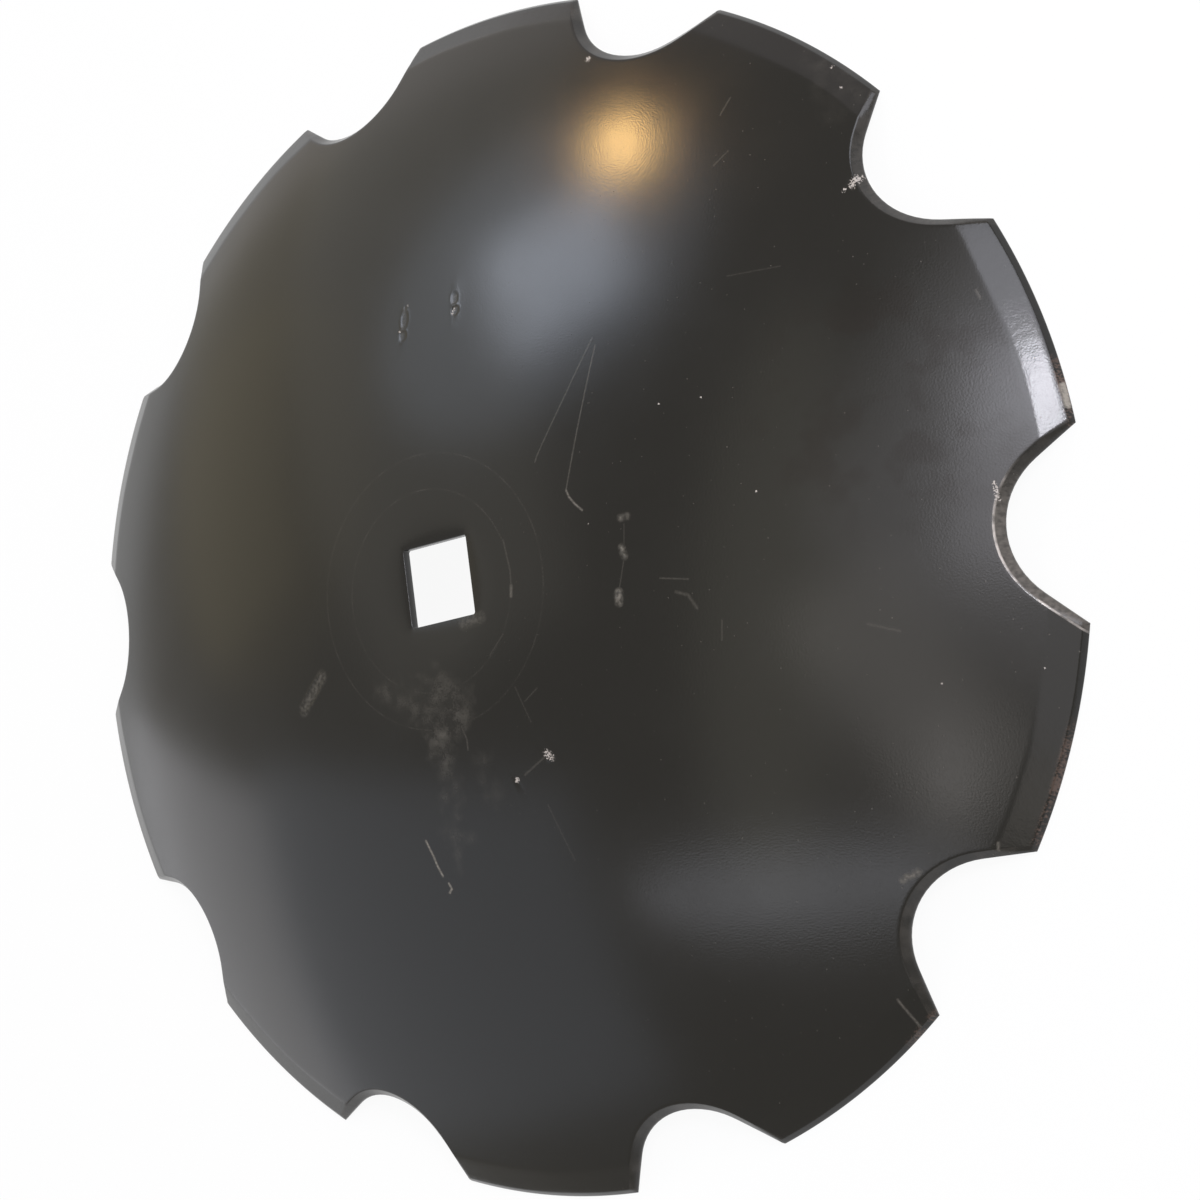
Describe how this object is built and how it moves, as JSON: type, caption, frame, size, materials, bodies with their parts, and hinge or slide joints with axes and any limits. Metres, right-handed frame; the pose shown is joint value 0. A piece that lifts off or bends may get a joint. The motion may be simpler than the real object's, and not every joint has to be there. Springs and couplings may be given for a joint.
{
  "type": "harrow disc blade",
  "caption": "Dished steel disc blade with a notched, bevelled rim and a square axle hole, for the gang of a tractor harrow.",
  "frame": {"origin": "centre of the plane that the scallop tips stand on, on the blade's own axis", "axes": "+Z along the blade's axis out of its bulging side; the sides of the square hole lie along X and Y"},
  "size_m": [0.61, 0.609, 0.0714],
  "materials": {
    "blade": "satin black paint"
  },
  "bodies": {
    "root": {"disc_blade": "blade"}
  },
  "joints": []
}
